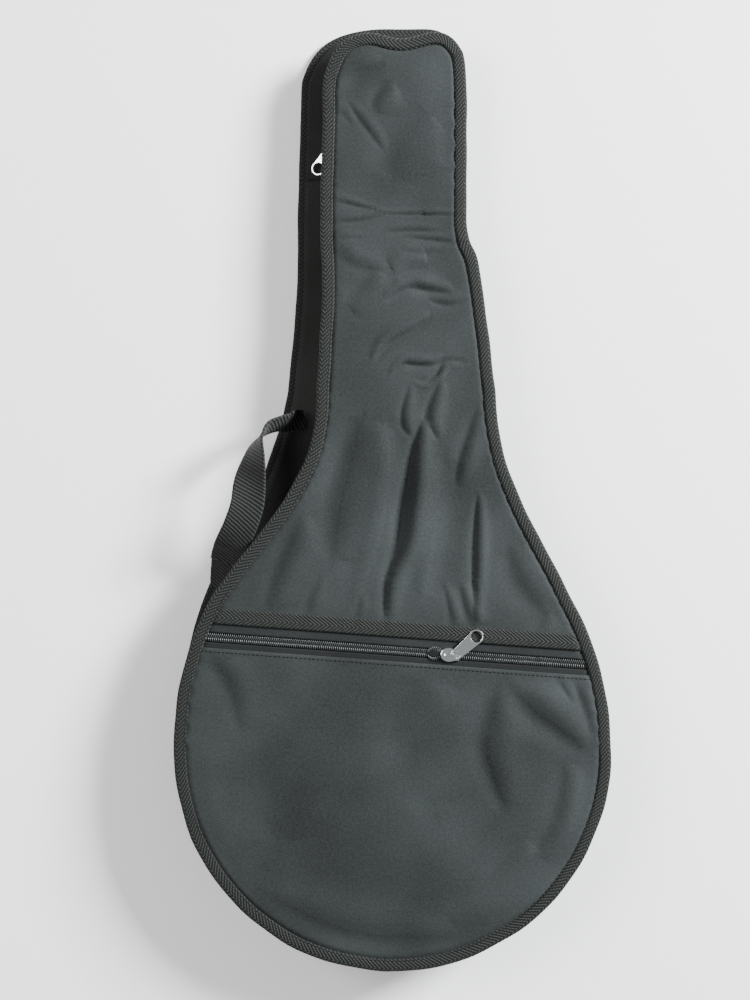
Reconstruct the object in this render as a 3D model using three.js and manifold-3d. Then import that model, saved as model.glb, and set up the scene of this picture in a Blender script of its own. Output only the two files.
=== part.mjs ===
// Soft carrying bag for a charango, lying closed on its back.
// Millimetres. +X to the bag's right, +Y towards its head, +Z up from the surface it lies on.
import * as THREE from 'three';
import { mergeVertices } from 'three/addons/utils/BufferGeometryUtils.js';
import Module from 'manifold-3d';

// Whole bag
const HEIGHT_AT_ORIGIN = 40;
const HEIGHT_SLOPE = 0.028;
const GAP = 0.3;

// Fabric pieces
const PANEL_T = 3;
const PANEL_RECESS = 0.6;
const BINDING_W = 9.4;
const BINDING_T = 4;
const WALL_T = 1.6;
const WALL_INSET = 6;
const FOLD_INSET = 23.5;
const FOLD_INSET_LEFT = 18;
const FOLD_HEIGHT = 0.42;
const POCKET_DEPTH = 8;

// Front outline: round body, waist curves, straight neck, rounded head
const BODY_R = 162.4;
const BODY_Y = -186;
const WAIST_Y = 82;
const WAIST_LEFT = -56.7;
const WAIST_RIGHT = 76.8;
const STEP_Y = 193;
const HEAD_LEFT = -52;
const HEAD_RIGHT = 56;
const HEAD_Y = 312;
const TOP_Y = 352;

// Back outline, where it shows beyond the front one
const BACK_WAIST_LEFT = -80;
const BACK_HEAD_LEFT = -70;
const BACK_RIGHT_INSET = 1;
const BACK_TOP_Y = 356;

// Zips
const COIL_HALF_W = 2.6;
const COIL_T = 2.4;
const COIL_SPLIT = 0.65;
const TAPE_T = 1;
const TAPE_W = 4.2;
const POCKET_TAPE_W = 4;
const POCKET_TILT = -0.0733;
const POCKET_ZIP_Y = -111.8;
const FACING_W = 6.6;
const WEBBING_STRIP_W = 11;

// Sliders: lengths along the zip, widths across it, heights above the underside of the coil
const POCKET_SLIDER_X = 42.6;
const MAIN_SLIDER_Y = 273;
const SLIDER_L = 13.8;
const SLIDER_W = 10.2;
const SLIDER_NECK_W = 7.6;
const PLATE_T = 1.2;
const BRIDGE_W = 1.4;
const BRIDGE_T = 1.2;
const BRIDGE_HALF_L = 5.6;
const POST_T = 0.6;

// Pulls: a flat tab with a bar at the slider and a ring at the far end
const PULL_T = 1.3;
const PULL_RING_X = 22;
const PULL_RING_R = 5.3;
const PULL_HOLE_R = 4.3;
const PULL_BAR_R = 0.65;
const PULL_NEAR_W = 7.6;
const PULL_SLOT_L = 3;
const PULL_SLOT_W = 5;
const PULL_PANEL_DEPTH = 0.25;
const PULL_LEG_X = 1.85;
const PULL_LEG_Y = 0.75;
const POCKET_PULL_YAW = 0.8;
const MAIN_PULL_YAW = 0.61;

// Carrying handle: a loop of webbing between two sewn ends
const WEBBING_W = 25;
const WEBBING_T = 1.8;

const CLOTH = { color: 0x24282a, roughness: 0.75, metalness: 0 };
const TAPE = { color: 0x16191a, roughness: 0.85, metalness: 0 };
const NYLON = { color: 0x101112, roughness: 0.45, metalness: 0 };
const CHROME = { color: 0xc9cbcc, roughness: 0.2, metalness: 1 };

const wasm = await Module();
wasm.setup();

// The outlines are drawn from the middle of the body's width; the part's origin is the middle of
// its box, so everything moves down by the difference.
const part = new THREE.Group();
const bag = new THREE.Group();
bag.position.y = -(BACK_TOP_Y + BODY_Y - BODY_R) / 2;
part.add(bag);

function addMesh(name, geometry, look) {
  const mesh = new THREE.Mesh(geometry, new THREE.MeshStandardMaterial(look));
  mesh.name = name;
  bag.add(mesh);
  return mesh;
}

// Height of the bag's upper face at y.
function heightAt(y) {
  return HEIGHT_AT_ORIGIN - HEIGHT_SLOPE * y;
}

// Solid through a row of cross-sections, each a ring of points in the same order.
function loft(rings, closed = false) {
  const count = rings[0].length;
  const points = rings.flat();
  const faces = [];
  const last = closed ? rings.length : rings.length - 1;
  for (let i = 0; i < last; i++) {
    const here = i * count;
    const next = ((i + 1) % rings.length) * count;
    for (let k = 0; k < count; k++) {
      const m = (k + 1) % count;
      faces.push(here + k, here + m, next + m, here + k, next + m, next + k);
    }
  }
  if (!closed) {
    const end = (rings.length - 1) * count;
    for (let k = 1; k < count - 1; k++) {
      faces.push(0, k + 1, k);
      faces.push(end, end + k, end + k + 1);
    }
  }
  const geometry = new THREE.BufferGeometry();
  geometry.setAttribute('position', new THREE.Float32BufferAttribute(points.flatMap((p) => p.toArray()), 3));
  geometry.setIndex(volumeOf(points, faces) < 0 ? faces.reverse() : faces);
  geometry.computeVertexNormals();
  return geometry;
}

function volumeOf(points, faces) {
  let volume = 0;
  const cross = new THREE.Vector3();
  for (let i = 0; i < faces.length; i += 3) {
    cross.crossVectors(points[faces[i + 1]], points[faces[i + 2]]);
    volume += points[faces[i]].dot(cross);
  }
  return volume;
}

// The outline's five stretches, each sampled into the same number of steps on both sides of the
// bag, so that station i of the front outline and station i of the back outline face each other.
const STEPS = { waist: 14, neck: 8, corner: 5, top: 3, body: 36 };

function sample(curve, steps) {
  return curve.getPoints(steps).slice(0, steps);
}

function bezier(points) {
  const [a, b, c, d] = points.map(([x, y]) => new THREE.Vector2(x, y));
  return new THREE.CubicBezierCurve(a, b, c, d);
}

function bend(points) {
  return new THREE.SplineCurve(points.map(([x, y]) => new THREE.Vector2(x, y)));
}

function outline(side) {
  const dx = side.inset;
  const stations = [];
  stations.push(...sample(bezier([
    [BODY_R - dx, BODY_Y], [BODY_R - dx, -67.8],
    [79.1 - dx, -25.7], [WAIST_RIGHT - dx, WAIST_Y]]), STEPS.waist));
  stations.push(...sample(bend([
    [WAIST_RIGHT - dx, WAIST_Y], [72 - dx, 126], [64.5 - dx, 176],
    [57.5 - dx, STEP_Y + 3], [HEAD_RIGHT - dx, 225], [HEAD_RIGHT - dx, HEAD_Y]]), STEPS.neck * 2));
  stations.push(...sample(bezier([
    [HEAD_RIGHT - dx, HEAD_Y], [HEAD_RIGHT - dx, 338],
    [50 - dx, side.topY], [32, side.topY]]), STEPS.corner));
  stations.push(...sample(bend([
    [32, side.topY], [6, side.topY - side.sag], [-16, side.topY]]), STEPS.top * 2));
  stations.push(...sample(bezier([
    [-16, side.topY], [side.headLeft + 8, side.topY],
    [side.headLeft, 335], [side.headLeft, HEAD_Y - 12]]), STEPS.corner));
  stations.push(...sample(bend([
    [side.headLeft, HEAD_Y - 12], [side.headLeft - 2, 222], [side.neckLeft, 150],
    [side.waistLeft, WAIST_Y]]), STEPS.neck * 2));
  stations.push(...sample(bezier([
    [side.waistLeft, WAIST_Y], side.waistPull,
    [-BODY_R, side.bodyPull], [-BODY_R, BODY_Y]]), STEPS.waist));
  const body = new THREE.EllipseCurve(0, BODY_Y, BODY_R - side.bodyInset, BODY_R - side.bodyInset,
    Math.PI, 2 * Math.PI);
  stations.push(...sample(body, STEPS.body));
  return stations;
}

const front = outline({
  inset: 0, topY: TOP_Y, sag: 7, headLeft: HEAD_LEFT, neckLeft: -53, waistLeft: WAIST_LEFT,
  waistPull: [WAIST_LEFT, -33.3], bodyPull: -31.6, bodyInset: 0,
});
const back = outline({
  inset: BACK_RIGHT_INSET, topY: BACK_TOP_Y, sag: 0, headLeft: BACK_HEAD_LEFT, neckLeft: -73.5,
  waistLeft: BACK_WAIST_LEFT, waistPull: [-104, -39.3], bodyPull: -46.3, bodyInset: 2,
});
const COUNT = front.length;

// Outward directions of a closed outline, in plan.
function normalsOf(points) {
  return points.map((p, i) => {
    const before = points[(i + COUNT - 1) % COUNT];
    const after = points[(i + 1) % COUNT];
    const along = after.clone().sub(before).normalize();
    return new THREE.Vector2(along.y, -along.x);
  });
}

const frontOut = normalsOf(front);
const backOut = normalsOf(back);

function insetPoint(points, outward, i, inset, z) {
  const p = points[i].clone().addScaledVector(outward[i], -inset);
  return new THREE.Vector3(p.x, p.y, z);
}

// Stations named by the piece of outline where they lie.
const TOP_LEFT = STEPS.waist + STEPS.neck * 2 + STEPS.corner + STEPS.top * 2 + 2;
const LEFT_NECK = TOP_LEFT - 2 + STEPS.corner;
const BODY_START = COUNT - STEPS.body;
const ZIP_END = BODY_START + 7;
const ZIP_START = LEFT_NECK + 4;

function range(from, to) {
  const list = [];
  for (let i = from; i <= to; i++) {
    list.push(i % COUNT);
  }
  return list;
}

// Binding tape: a flat ring along an outline, folded over the edges of panel and wall.
function binding(points, outward, low, high) {
  return loft(range(0, COUNT - 1).map((i) => {
    const inner = insetPoint(points, outward, i, BINDING_W, 0);
    const outer = insetPoint(points, outward, i, 0, 0);
    return [
      new THREE.Vector3(outer.x, outer.y, low(outer.y)),
      new THREE.Vector3(outer.x, outer.y, high(outer.y) - 1),
      insetPoint(points, outward, i, 1.2, high(outer.y)),
      new THREE.Vector3(inner.x, inner.y, high(inner.y)),
      new THREE.Vector3(inner.x, inner.y, low(inner.y)),
    ];
  }), true);
}

addMesh('front_binding', binding(front, frontOut, (y) => heightAt(y) - BINDING_T, heightAt), TAPE);
addMesh('back_binding', binding(back, backOut, () => 0, () => BINDING_T), TAPE);

// Half-width limits of the area inside an inset outline, at one y.
function spanAt(points, outward, inset, y) {
  const ring = points.map((p, i) => p.clone().addScaledVector(outward[i], -inset));
  const hits = [];
  ring.forEach((p, i) => {
    const q = ring[(i + 1) % COUNT];
    if ((p.y - y) * (q.y - y) <= 0 && p.y !== q.y) {
      hits.push(p.x + (q.x - p.x) * (y - p.y) / (q.y - p.y));
    }
  });
  return [Math.min(...hits), Math.max(...hits)];
}

// Flat panel between two cross lines, each given as its y at x = 0 and the slope of the line.
function panel(points, outward, inset, lowLine, highLine, rows, topAt, thickness) {
  const rings = [];
  for (let r = 0; r <= rows; r++) {
    const t = 0.5 - 0.5 * Math.cos(Math.PI * r / rows);
    const y0 = lowLine.y + (highLine.y - lowLine.y) * t;
    const slope = lowLine.slope + (highLine.slope - lowLine.slope) * t;
    const ends = [0, 1].map((side) => {
      let x = spanAt(points, outward, inset, y0)[side];
      for (let pass = 0; pass < 3; pass++) {
        x = spanAt(points, outward, inset, y0 + slope * x)[side];
      }
      return new THREE.Vector2(x, y0 + slope * x);
    });
    const [a, b] = ends;
    rings.push([
      new THREE.Vector3(a.x, a.y, topAt(a.y)),
      new THREE.Vector3(b.x, b.y, topAt(b.y)),
      new THREE.Vector3(b.x, b.y, topAt(b.y) - thickness),
      new THREE.Vector3(a.x, a.y, topAt(a.y) - thickness),
    ]);
  }
  return loft(rings);
}

// Cross lines of the pocket's zip, from the strip above it down to the pocket's folded edge.
const coilReach = COIL_SPLIT + COIL_HALF_W;
const lines = {
  upperCoil: POCKET_ZIP_Y + coilReach,
  lowerCoil: POCKET_ZIP_Y - coilReach,
};
lines.upperTape = lines.upperCoil + GAP + FACING_W;
lines.strip = lines.upperTape + GAP + WEBBING_STRIP_W;
lines.pocketEdge = lines.lowerCoil - GAP - POCKET_TAPE_W;

const sloped = (y) => ({ y, slope: POCKET_TILT });
const level = (y) => ({ y, slope: 0 });
const PANEL_INSET = BINDING_W + 3 * GAP;
const BACKING_INSET = 17;
const panelTop = (y) => heightAt(y) - PANEL_RECESS;
const FRONT_TOP = TOP_Y - 7 - PANEL_INSET - GAP;
const BODY_BOTTOM = BODY_Y - BODY_R + PANEL_INSET + 2.5;

addMesh('front_panel', panel(front, frontOut, PANEL_INSET, sloped(lines.strip + GAP), level(FRONT_TOP),
  44, panelTop, PANEL_T), CLOTH);
addMesh('pocket_top_strip', panel(front, frontOut, PANEL_INSET, sloped(lines.upperTape + GAP),
  sloped(lines.strip), 4, (y) => panelTop(y) + 0.6, PANEL_T), TAPE);
addMesh('pocket_panel', panel(front, frontOut, PANEL_INSET, level(BODY_BOTTOM),
  sloped(lines.pocketEdge - GAP), 32, panelTop, 2), CLOTH);
addMesh('pocket_backing', panel(front, frontOut, BACKING_INSET, level(BODY_BOTTOM + 8), sloped(lines.strip),
  32, (y) => panelTop(y) - 2 - POCKET_DEPTH, 1.6), CLOTH);
addMesh('back_panel', panel(back, backOut, PANEL_INSET, level(BODY_BOTTOM + 2), level(BACK_TOP_Y - PANEL_INSET - 1),
  60, () => PANEL_T + 0.4, PANEL_T + 0.4), CLOTH);

// The fold is shallower along the hinge side, between the head's left corner and the body.
function foldInsetAt(i) {
  const leftSide = THREE.MathUtils.smoothstep(i, TOP_LEFT - 1, LEFT_NECK)
    - THREE.MathUtils.smoothstep(i, BODY_START - 4, BODY_START + 5);
  return THREE.MathUtils.lerp(FOLD_INSET, FOLD_INSET_LEFT, leftSide);
}

// Wall around the bag. Its section folds inwards: a lower leg from the back binding in to the fold,
// and an upper leg from the fold out to the front binding. The zip lies in the lower leg.
function wallSection(i) {
  const foot = insetPoint(back, backOut, i, WALL_INSET, BINDING_T + GAP);
  const foldInset = foldInsetAt(i);
  const foldY = front[i].y - frontOut[i].y * foldInset;
  const fold = insetPoint(front, frontOut, i, foldInset, FOLD_HEIGHT * heightAt(foldY));
  const headY = front[i].y - frontOut[i].y * WALL_INSET;
  const head = insetPoint(front, frontOut, i, WALL_INSET, heightAt(headY) - BINDING_T - GAP);
  return { foot, fold, head };
}

// Strip of the lower leg between two distances measured from the fold; rise lifts it off the leg.
function lowerStrip(stations, near, far, thickness, rise = 0) {
  return loft(stations.map((i) => {
    const { foot, fold } = wallSection(i);
    const leg = foot.clone().sub(fold);
    const length = leg.length();
    leg.normalize();
    const up = new THREE.Vector3(-leg.x * leg.z, -leg.y * leg.z, leg.x ** 2 + leg.y ** 2).normalize();
    const start = fold.clone().addScaledVector(leg, near);
    const end = fold.clone().addScaledVector(leg, far === null ? length - GAP : far);
    return [
      start.clone().addScaledVector(up, rise),
      end.clone().addScaledVector(up, rise),
      end.clone().addScaledVector(up, rise + thickness),
      start.clone().addScaledVector(up, rise + thickness),
    ];
  }));
}

function upperStrip(stations, lift) {
  return loft(stations.map((i) => {
    const { fold, head } = wallSection(i);
    const inward = new THREE.Vector3(-frontOut[i].x, -frontOut[i].y, 0);
    const low = fold.clone().add(new THREE.Vector3(0, 0, lift));
    return [
      low,
      head.clone(),
      head.clone().addScaledVector(inward, WALL_T),
      low.clone().addScaledVector(inward, WALL_T),
    ];
  }));
}

const nearCoil = GAP + TAPE_W + 4 * GAP;
const midZip = nearCoil + COIL_HALF_W + COIL_SPLIT;
const farCoil = midZip + COIL_SPLIT + COIL_HALF_W;
const farTape = farCoil + GAP + TAPE_W;
const lidRun = [...range(0, TOP_LEFT).reverse(), ...range(ZIP_END, COUNT - 1).reverse()];
const startRun = range(TOP_LEFT + 1, ZIP_START);
const baseRun = [...startRun.slice().reverse(), TOP_LEFT, ...lidRun.slice(1)];
const hingeRun = range(ZIP_START + 1, ZIP_END - 1);
const COIL_LIFT = 0.2;

addMesh('front_gusset', upperStrip(lidRun, 1.8 + GAP), CLOTH);
addMesh('main_zip_tape_front', lowerStrip(lidRun, GAP, GAP + TAPE_W, TAPE_T), TAPE);
addMesh('main_zip_coil_front', lowerStrip(lidRun, nearCoil, nearCoil + COIL_HALF_W, COIL_T, COIL_LIFT), NYLON);
addMesh('main_zip_tape_start', lowerStrip(startRun, GAP, GAP + TAPE_W, TAPE_T), TAPE);
addMesh('main_zip_coil_start', lowerStrip(startRun, nearCoil, nearCoil + COIL_HALF_W, COIL_T, COIL_LIFT), NYLON);
addMesh('main_zip_coil_back', lowerStrip(baseRun, farCoil - COIL_HALF_W, farCoil, COIL_T, COIL_LIFT), NYLON);
addMesh('main_zip_tape_back', lowerStrip(baseRun, farCoil + GAP, farTape, TAPE_T), TAPE);
addMesh('back_gusset', lowerStrip(baseRun, farTape + GAP, null, WALL_T), CLOTH);
addMesh('side_gusset_lower', lowerStrip(hingeRun, GAP, null, WALL_T), CLOTH);
addMesh('side_gusset_upper', upperStrip(range(TOP_LEFT + 1, ZIP_END - 1), 1.8 + GAP), CLOTH);

// Pocket zip, lying in the plane of the front.
const coilTop = (y) => panelTop(y) + 0.6;
const tapeTop = (y) => coilTop(y) - COIL_T + 0.7 + TAPE_T;
const between = (low, high, topAt, thickness) => panel(front, frontOut, PANEL_INSET, sloped(low),
  sloped(high), 1, topAt, thickness);
addMesh('pocket_zip_facing', between(lines.upperCoil + GAP, lines.upperTape, tapeTop, TAPE_T), CLOTH);
addMesh('pocket_zip_coil_upper', between(POCKET_ZIP_Y + COIL_SPLIT, lines.upperCoil, coilTop, COIL_T), NYLON);
addMesh('pocket_zip_coil_lower', between(lines.lowerCoil, POCKET_ZIP_Y - COIL_SPLIT, coilTop, COIL_T), NYLON);
addMesh('pocket_zip_tape', between(lines.pocketEdge, lines.lowerCoil - GAP, tapeTop, TAPE_T), TAPE);

function toSolid(geometry) {
  const plain = geometry.index ? geometry.clone() : geometry;
  plain.deleteAttribute('normal');
  plain.deleteAttribute('uv');
  const merged = mergeVertices(plain, 1e-4);
  return new wasm.Manifold(new wasm.Mesh({
    numProp: 3,
    vertProperties: new Float32Array(merged.attributes.position.array),
    triVerts: new Uint32Array(merged.index.array),
  }));
}

function toGeometry(solid) {
  const mesh = solid.getMesh();
  const geometry = new THREE.BufferGeometry();
  geometry.setAttribute('position', new THREE.BufferAttribute(mesh.vertProperties, 3));
  geometry.setIndex(new THREE.BufferAttribute(mesh.triVerts, 1));
  geometry.computeVertexNormals();
  return geometry;
}

function slab(shape, low, high, bevel = 0) {
  const geometry = new THREE.ExtrudeGeometry(shape, {
    depth: high - low - 2 * bevel, bevelEnabled: bevel > 0, bevelThickness: bevel,
    bevelSize: bevel, bevelOffset: -bevel, bevelSegments: 2, curveSegments: 10,
  });
  return geometry.translate(0, 0, low + bevel);
}

function block(x0, x1, y0, y1, z0, z1) {
  return new THREE.BoxGeometry(x1 - x0, y1 - y0, z1 - z0)
    .translate((x0 + x1) / 2, (y0 + y1) / 2, (z0 + z1) / 2);
}

function join(...geometries) {
  return geometries.map(toSolid).reduce((whole, piece) => whole.add(piece));
}

// Slider, with x along the zip towards its narrow end, y across the zip and z out of the bag.
const PLATE_LOW = COIL_T + GAP;
const PLATE_TOP = PLATE_LOW + PLATE_T;
const BAR_Z = PLATE_TOP + GAP + PULL_BAR_R;

function sliderPlate(scale) {
  const half = SLIDER_L / 2 * scale;
  const wide = SLIDER_W / 2 * scale;
  const neck = SLIDER_NECK_W / 2 * scale;
  const shape = new THREE.Shape();
  shape.moveTo(half, -neck);
  shape.lineTo(half, neck);
  shape.bezierCurveTo(half * 0.4, neck, half * 0.2, wide, -half * 0.1, wide);
  shape.bezierCurveTo(-half * 0.7, wide, -half, wide * 0.55, -half, 0);
  shape.bezierCurveTo(-half, -wide * 0.55, -half * 0.7, -wide, -half * 0.1, -wide);
  shape.bezierCurveTo(half * 0.2, -wide, half * 0.4, -neck, half, -neck);
  return shape;
}

function sliderSolid() {
  const tapeGap = 0.7 + TAPE_T + GAP;
  const edge = COIL_SPLIT + COIL_HALF_W + GAP;
  const top = toSolid(slab(sliderPlate(1), tapeGap, PLATE_TOP, 0.35));
  const channel = toSolid(block(-SLIDER_L, SLIDER_L, -edge, edge, 0, PLATE_LOW));
  const bottom = toSolid(slab(sliderPlate(0.94), -GAP - 1, -GAP, 0.25));
  const post = toSolid(block(-5.2, -0.8, -POST_T / 2, POST_T / 2, -GAP - 0.5, PLATE_LOW + 0.5));
  const arch = new THREE.Shape();
  const archTop = BAR_Z + PULL_BAR_R + 0.4 + BRIDGE_T;
  arch.moveTo(-BRIDGE_HALF_L, PLATE_TOP - 0.4);
  arch.bezierCurveTo(-BRIDGE_HALF_L, archTop, -BRIDGE_HALF_L * 0.7, archTop, 0, archTop);
  arch.bezierCurveTo(BRIDGE_HALF_L * 0.7, archTop, BRIDGE_HALF_L, archTop, BRIDGE_HALF_L, PLATE_TOP - 0.4);
  const holeTop = archTop - BRIDGE_T + 0.15;
  const holeHalf = BRIDGE_HALF_L - BRIDGE_T;
  arch.lineTo(holeHalf, PLATE_TOP - 0.4);
  arch.bezierCurveTo(holeHalf, holeTop, holeHalf * 0.8, holeTop, 0, holeTop);
  arch.bezierCurveTo(-holeHalf * 0.8, holeTop, -holeHalf, holeTop, -holeHalf, PLATE_TOP - 0.4);
  arch.closePath();
  const bridge = slab(arch, -BRIDGE_W / 2, BRIDGE_W / 2).rotateX(Math.PI / 2);
  return top.subtract(channel).add(bottom).add(post).add(toSolid(bridge));
}

// Pull, with x from its bar towards its ring, z = 0 at mid thickness.
function pullSolid() {
  const near = PULL_NEAR_W / 2;
  const shape = new THREE.Shape();
  const spread = Math.atan2(PULL_RING_R - near, PULL_RING_X) + 0.02;
  shape.moveTo(-PULL_BAR_R, -near + 0.6);
  shape.lineTo(0, -near);
  shape.absarc(PULL_RING_X, 0, PULL_RING_R, -Math.PI / 2 - spread, Math.PI / 2 + spread, false);
  shape.lineTo(0, near);
  shape.lineTo(-PULL_BAR_R, near - 0.6);
  shape.closePath();
  const ring = new THREE.Path();
  ring.absarc(PULL_RING_X, 0, PULL_HOLE_R, 0, 2 * Math.PI, true);
  const slot = new THREE.Path();
  const slotEnd = PULL_BAR_R + PULL_SLOT_L;
  const slotHalf = PULL_SLOT_W / 2;
  slot.moveTo(PULL_BAR_R, -slotHalf);
  slot.lineTo(PULL_BAR_R, slotHalf);
  slot.bezierCurveTo(slotEnd, slotHalf, slotEnd + 0.2, slotHalf, slotEnd + 0.2, 0);
  slot.bezierCurveTo(slotEnd + 0.2, -slotHalf, slotEnd, -slotHalf, PULL_BAR_R, -slotHalf);
  shape.holes.push(ring, slot);
  const plate = toSolid(slab(shape, -PULL_T / 2, PULL_T / 2, 0.2));
  const recess = new THREE.Shape();
  const from = slotEnd + 1.4;
  const to = PULL_RING_X - PULL_HOLE_R - 1.2;
  recess.moveTo(from, -near + 1);
  recess.lineTo(to, -near + 0.4);
  recess.quadraticCurveTo(to - 1.6, 0, to, near - 0.4);
  recess.lineTo(from, near - 1);
  recess.closePath();
  const cut = slab(recess, PULL_T / 2 - PULL_PANEL_DEPTH, PULL_T);
  const cutBelow = slab(recess, -PULL_T, -PULL_T / 2 + PULL_PANEL_DEPTH);
  return plate.subtract(toSolid(cut)).subtract(toSolid(cutBelow));
}

// A slider and its pull, set on a zip: origin under the coil, along towards the narrow end.
// end is +1 when the pull lies towards the narrow end, -1 towards the wide one; yaw turns it aside.
function addSlider(prefix, origin, along, up, end, yaw) {
  const across = new THREE.Vector3().crossVectors(up, along).normalize();
  const place = new THREE.Matrix4().makeBasis(along, across, up).setPosition(origin);
  addMesh(`${prefix}_slider`, toGeometry(sliderSolid()).applyMatrix4(place), CHROME);
  const heading = end > 0 ? yaw : Math.PI + yaw;
  const leg = new THREE.Vector3(end * (BRIDGE_HALF_L - BRIDGE_T / 2), 0, BAR_Z);
  const turn = new THREE.Matrix4().makeRotationZ(heading);
  const sideways = -Math.sign(yaw) * end * PULL_LEG_Y;
  const reach = new THREE.Vector3(PULL_LEG_X, sideways, 0).applyMatrix4(turn);
  const bar = leg.sub(reach);
  const pull = toGeometry(pullSolid()).applyMatrix4(turn.setPosition(bar)).applyMatrix4(place);
  addMesh(`${prefix}_pull`, pull, CHROME);
}

const pocketAlong = new THREE.Vector3(1, POCKET_TILT, -HEIGHT_SLOPE * POCKET_TILT).normalize();
const frontUp = new THREE.Vector3(0, HEIGHT_SLOPE, 1).normalize();
const pocketSliderY = POCKET_ZIP_Y + POCKET_TILT * POCKET_SLIDER_X;
addSlider('pocket', new THREE.Vector3(POCKET_SLIDER_X, pocketSliderY, coilTop(pocketSliderY) - COIL_T),
  pocketAlong, frontUp, 1, POCKET_PULL_YAW);

// Point under the middle of the main zip at a station, and the lower leg's upward direction there.
function zipPoint(i) {
  const { foot, fold } = wallSection(i);
  const leg = foot.clone().sub(fold).normalize();
  const up = new THREE.Vector3(-leg.x * leg.z, -leg.y * leg.z, leg.x ** 2 + leg.y ** 2).normalize();
  return { point: fold.addScaledVector(leg, midZip).addScaledVector(up, COIL_LIFT), up };
}

const zipLow = zipPoint(ZIP_START - 1);
const zipHigh = zipPoint(LEFT_NECK);
const mainAlong = zipHigh.point.clone().sub(zipLow.point);
const mainShare = (MAIN_SLIDER_Y - zipLow.point.y) / mainAlong.y;
const mainOrigin = zipLow.point.clone().addScaledVector(mainAlong, mainShare);
mainAlong.normalize();
const mainUp = zipLow.up.clone().lerp(zipHigh.up, mainShare);
mainUp.addScaledVector(mainAlong, -mainUp.dot(mainAlong)).normalize();
addSlider('main', mainOrigin, mainAlong, mainUp, -1, -MAIN_PULL_YAW);

// Strip of webbing through stations of [centre, direction of its width].
function webbing(stations, width, steps) {
  const centres = new THREE.CatmullRomCurve3(stations.map(([p]) => new THREE.Vector3(...p)));
  const widths = new THREE.CatmullRomCurve3(stations.map(([, w]) => new THREE.Vector3(...w)));
  const rings = [];
  for (let k = 0; k <= steps; k++) {
    const t = k / steps;
    const centre = centres.getPoint(t);
    const along = centres.getTangent(t);
    const across = widths.getPoint(t);
    across.addScaledVector(along, -across.dot(along)).setLength(width / 2);
    const thick = new THREE.Vector3().crossVectors(along, across).setLength(WEBBING_T / 2);
    rings.push([[-1, -1], [1, -1], [1, 1], [-1, 1]].map(([a, b]) => centre.clone()
      .addScaledVector(across, a).addScaledVector(thick, b)));
  }
  return loft(rings);
}

addMesh('handle', webbing([
  [[-125, -47, 21.5], [0.9, -0.42, 0.1]],
  [[-123, -40, 27], [0.93, -0.37, 0.1]],
  [[-120, -33, 34], [0.95, -0.3, 0]],
  [[-113.5, -20, 40], [1, -0.12, 0]],
  [[-108, -4, 42], [1, 0, 0]],
  [[-106, 12, 41], [0.97, 0.05, 0.25]],
  [[-103.5, 28, 38], [0.75, 0.12, 0.65]],
  [[-101, 42, 34], [0.45, 0.3, 0.85]],
  [[-95, 52, 30], [0.2, 0.5, 0.85]],
  [[-87, 56, 26], [0.1, 0.6, 0.8]],
  [[-79.5, 58, 22], [0.12, 0.75, 0.65]],
], WEBBING_W, 26), TAPE);
addMesh('handle_end_lower', webbing([
  [[-134.5, -64, 11.5], [0.9, -0.42, 0.35]],
  [[-129.5, -56, 15.5], [0.9, -0.42, 0.3]],
  [[-126, -49, 20], [0.9, -0.42, 0.15]],
], 22, 6), TAPE);
addMesh('handle_end_upper', webbing([
  [[-78.2, 58.2, 21], [0.12, 0.75, 0.65]],
  [[-72, 60.5, 17.5], [0.2, 0.9, 0.35]],
  [[-64, 62, 16.5], [0.2, 0.97, 0.1]],
], 22, 6), TAPE);

export default part;
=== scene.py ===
import math

import bpy
import numpy as np
from bpy.props import FloatProperty, FloatVectorProperty, PointerProperty
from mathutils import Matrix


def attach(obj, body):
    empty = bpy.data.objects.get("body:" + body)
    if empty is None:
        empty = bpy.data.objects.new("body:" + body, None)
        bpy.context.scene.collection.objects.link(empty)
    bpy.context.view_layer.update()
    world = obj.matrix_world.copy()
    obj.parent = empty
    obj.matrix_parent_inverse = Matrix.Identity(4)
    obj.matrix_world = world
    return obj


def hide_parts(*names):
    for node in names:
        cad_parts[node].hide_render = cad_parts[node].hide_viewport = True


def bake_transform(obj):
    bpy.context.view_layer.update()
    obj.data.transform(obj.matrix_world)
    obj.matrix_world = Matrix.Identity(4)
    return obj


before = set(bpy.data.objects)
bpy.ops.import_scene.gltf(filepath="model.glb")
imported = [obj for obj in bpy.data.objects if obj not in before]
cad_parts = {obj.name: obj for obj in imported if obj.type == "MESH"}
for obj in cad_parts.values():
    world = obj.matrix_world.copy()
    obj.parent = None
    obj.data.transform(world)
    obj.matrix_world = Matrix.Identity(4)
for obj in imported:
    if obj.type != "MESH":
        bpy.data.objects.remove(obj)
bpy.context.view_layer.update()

bl_info = {
    "name": "Charango Carrying Bag",
    "version": (1, 0, 0),
    "blender": (4, 5, 0),
    "location": "3D View > Sidebar > Carrying Bag",
    "description": "Builds the soft carrying bag for a charango, piece by piece",
    "category": "Add Mesh",
}

MM = 0.001

# The bag's outlines are drawn from the middle of its round body, then moved to the frame's origin.
BODY_R = 162.4
BODY_Y = -186.0
TOP_Y = 352.0
BACK_TOP_Y = 356.0
SHIFT_Y = -(BACK_TOP_Y + BODY_Y - BODY_R) / 2
HEIGHT_AT_ORIGIN = 40.0
HEIGHT_SLOPE = 0.028

GAP = 0.3
PANEL_RECESS = 0.6
PANEL_TUCK = 1.7
BINDING_W = 9.4
BINDING_T = 4.0
BINDING_SEAM = 8.1
WALL_INSET = 6.0
FOLD_INSET = 23.5
FOLD_INSET_LEFT = 18.0
FOLD_HEIGHT = 0.42
CROSS_SEAM_Y = 268.0

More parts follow.
